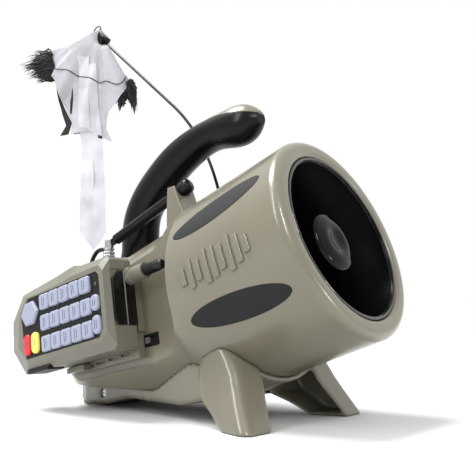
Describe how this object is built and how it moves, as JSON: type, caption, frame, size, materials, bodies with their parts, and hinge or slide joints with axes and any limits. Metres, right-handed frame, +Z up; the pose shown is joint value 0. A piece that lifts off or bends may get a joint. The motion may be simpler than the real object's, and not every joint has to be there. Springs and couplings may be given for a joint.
{
  "type": "electronic game caller",
  "caption": "Horn speaker caller with shell, stand, handle, folding aerial, docked keypad remote and motor-driven cloth decoy on a bent wand.",
  "frame": {"origin": "mouth of the tripod socket under the body, on the plane of symmetry", "axes": "+X forward out of the horn (the horn axis is tilted up 19.15 degrees from it), +Z up, -Y to the object's right, the remote's side"},
  "size_m": [0.4818, 0.1915, 0.4631],
  "materials": {
    "aluminium_part": "satin",
    "black_plastic": "gloss",
    "board_green": "satin",
    "brass_insert": "turned",
    "bright_metal": "polished",
    "cell_skin": "satin",
    "cloth_grey": "matte",
    "dark_plastic": "matte",
    "film_white": "satin",
    "fur_black": "matte",
    "handle_rubber": "satin",
    "horn_black": "gloss",
    "key_grey": "satin",
    "key_red": "satin",
    "key_yellow": "satin",
    "olive_remote": "satin",
    "olive_shell": "satin",
    "oval_rubber": "matte",
    "steel": "brushed",
    "window_black": "gloss"
  },
  "bodies": {
    "caller": {"housing_right": "olive_shell", "housing_left": "olive_shell", "oval_inlays": "oval_rubber", "horn_bell": "horn_black", "horn_bullet": "horn_black", "throat_tube": "horn_black", "driver_diaphragm": "aluminium_part", "driver_motor": "steel", "mouth_gasket": "horn_black", "front_stand": "olive_shell", "rear_base": "olive_shell", "tripod_insert": "brass_insert", "handle_grip": "handle_rubber", "handle_cap": "olive_shell", "aerial_fork": "olive_shell", "aerial_post": "bright_metal", "aerial_lead": "black_plastic", "remote_dock": "olive_shell", "switch_frame": "dark_plastic", "battery_tray": "dark_plastic", "battery_cells": "cell_skin", "main_board": "board_green", "decoy_motor": "steel", "base_screws": "steel"},
    "aerial": {"aerial_whip": "black_plastic"},
    "remote": {"remote_front": "olive_remote", "remote_back": "olive_remote", "remote_grip": "dark_plastic", "remote_window": "window_black", "remote_aerial": "black_plastic", "remote_keypad_plate": "dark_plastic", "remote_board": "board_green"},
    "key_top_1": {"key_top_1": "key_grey"},
    "key_top_2": {"key_top_2": "key_grey"},
    "key_top_3": {"key_top_3": "key_grey"},
    "key_top_4": {"key_top_4": "key_grey"},
    "key_top_5": {"key_top_5": "key_grey"},
    "key_middle_1": {"key_middle_1": "key_grey"},
    "key_middle_2": {"key_middle_2": "key_grey"},
    "key_middle_3": {"key_middle_3": "key_grey"},
    "key_middle_4": {"key_middle_4": "key_grey"},
    "key_middle_5": {"key_middle_5": "key_grey"},
    "key_bottom_1": {"key_bottom_1": "key_grey"},
    "key_bottom_2": {"key_bottom_2": "key_grey"},
    "key_bottom_3": {"key_bottom_3": "key_grey"},
    "key_bottom_4": {"key_bottom_4": "key_grey"},
    "key_bottom_5": {"key_bottom_5": "key_grey"},
    "key_round": {"key_round": "key_grey"},
    "key_oval": {"key_oval": "key_grey"},
    "key_red": {"key_red": "key_red"},
    "key_yellow": {"key_yellow": "key_yellow"},
    "key_hex": {"key_hex": "key_grey"},
    "power_switch": {"power_switch": "steel"},
    "battery_door": {"battery_door": "olive_shell"},
    "decoy": {"decoy_hub": "black_plastic", "decoy_wand": "steel", "decoy_clip": "black_plastic", "decoy_cloth": "cloth_grey", "decoy_streamers": "film_white", "decoy_fur": "fur_black"}
  },
  "joints": [
    {"name": "aerial_fold", "type": "hinge", "parent": "caller", "child": "aerial", "pos_m": [-0.09361, -0.03838, 0.14564], "axis": [0.3331, -0.913, -0.2358], "range_deg": [0, 100]},
    {"name": "remote_undock", "type": "slide", "parent": "caller", "child": "remote", "axis": [0, -1, 0], "range_m": [0, 0.1]},
    {"name": "key_top_1_press", "type": "slide", "parent": "remote", "child": "key_top_1", "axis": [0, 1, 0], "range_m": [0, 0.001], "stiffness_N_per_m": 600, "springref_m": -0.0003},
    {"name": "key_top_2_press", "type": "slide", "parent": "remote", "child": "key_top_2", "axis": [0, 1, 0], "range_m": [0, 0.001], "stiffness_N_per_m": 600, "springref_m": -0.0003},
    {"name": "key_top_3_press", "type": "slide", "parent": "remote", "child": "key_top_3", "axis": [0, 1, 0], "range_m": [0, 0.001], "stiffness_N_per_m": 600, "springref_m": -0.0003},
    {"name": "key_top_4_press", "type": "slide", "parent": "remote", "child": "key_top_4", "axis": [0, 1, 0], "range_m": [0, 0.001], "stiffness_N_per_m": 600, "springref_m": -0.0003},
    {"name": "key_top_5_press", "type": "slide", "parent": "remote", "child": "key_top_5", "axis": [0, 1, 0], "range_m": [0, 0.001], "stiffness_N_per_m": 600, "springref_m": -0.0003},
    {"name": "key_middle_1_press", "type": "slide", "parent": "remote", "child": "key_middle_1", "axis": [0, 1, 0], "range_m": [0, 0.001], "stiffness_N_per_m": 600, "springref_m": -0.0003},
    {"name": "key_middle_2_press", "type": "slide", "parent": "remote", "child": "key_middle_2", "axis": [0, 1, 0], "range_m": [0, 0.001], "stiffness_N_per_m": 600, "springref_m": -0.0003},
    {"name": "key_middle_3_press", "type": "slide", "parent": "remote", "child": "key_middle_3", "axis": [0, 1, 0], "range_m": [0, 0.001], "stiffness_N_per_m": 600, "springref_m": -0.0003},
    {"name": "key_middle_4_press", "type": "slide", "parent": "remote", "child": "key_middle_4", "axis": [0, 1, 0], "range_m": [0, 0.001], "stiffness_N_per_m": 600, "springref_m": -0.0003},
    {"name": "key_middle_5_press", "type": "slide", "parent": "remote", "child": "key_middle_5", "axis": [0, 1, 0], "range_m": [0, 0.001], "stiffness_N_per_m": 600, "springref_m": -0.0003},
    {"name": "key_bottom_1_press", "type": "slide", "parent": "remote", "child": "key_bottom_1", "axis": [0, 1, 0], "range_m": [0, 0.001], "stiffness_N_per_m": 600, "springref_m": -0.0003},
    {"name": "key_bottom_2_press", "type": "slide", "parent": "remote", "child": "key_bottom_2", "axis": [0, 1, 0], "range_m": [0, 0.001], "stiffness_N_per_m": 600, "springref_m": -0.0003},
    {"name": "key_bottom_3_press", "type": "slide", "parent": "remote", "child": "key_bottom_3", "axis": [0, 1, 0], "range_m": [0, 0.001], "stiffness_N_per_m": 600, "springref_m": -0.0003},
    {"name": "key_bottom_4_press", "type": "slide", "parent": "remote", "child": "key_bottom_4", "axis": [0, 1, 0], "range_m": [0, 0.001], "stiffness_N_per_m": 600, "springref_m": -0.0003},
    {"name": "key_bottom_5_press", "type": "slide", "parent": "remote", "child": "key_bottom_5", "axis": [0, 1, 0], "range_m": [0, 0.001], "stiffness_N_per_m": 600, "springref_m": -0.0003},
    {"name": "key_round_press", "type": "slide", "parent": "remote", "child": "key_round", "axis": [0, 1, 0], "range_m": [0, 0.001], "stiffness_N_per_m": 600, "springref_m": -0.0003},
    {"name": "key_oval_press", "type": "slide", "parent": "remote", "child": "key_oval", "axis": [0, 1, 0], "range_m": [0, 0.001], "stiffness_N_per_m": 600, "springref_m": -0.0003},
    {"name": "key_red_press", "type": "slide", "parent": "remote", "child": "key_red", "axis": [0, 1, 0], "range_m": [0, 0.001], "stiffness_N_per_m": 600, "springref_m": -0.0003},
    {"name": "key_yellow_press", "type": "slide", "parent": "remote", "child": "key_yellow", "axis": [0, 1, 0], "range_m": [0, 0.001], "stiffness_N_per_m": 600, "springref_m": -0.0003},
    {"name": "key_hex_press", "type": "slide", "parent": "remote", "child": "key_hex", "axis": [0, 1, 0], "range_m": [0, 0.001], "stiffness_N_per_m": 600, "springref_m": -0.0003},
    {"name": "power_slide", "type": "slide", "parent": "caller", "child": "power_switch", "axis": [0.9813, 0, 0.1925], "range_m": [0, 0.0064]},
    {"name": "battery_door_hinge", "type": "hinge", "parent": "caller", "child": "battery_door", "pos_m": [-0.04464, 0.0644, 0.0411], "axis": [-0.9813, 0, -0.1925], "range_deg": [0, 95]},
    {"name": "decoy_spin", "type": "hinge", "parent": "caller", "child": "decoy", "pos_m": [-0.0105, 0.042, 0.148], "axis": [-0.15, 0, 0.9887], "range_deg": [-100, 25]}
  ]
}
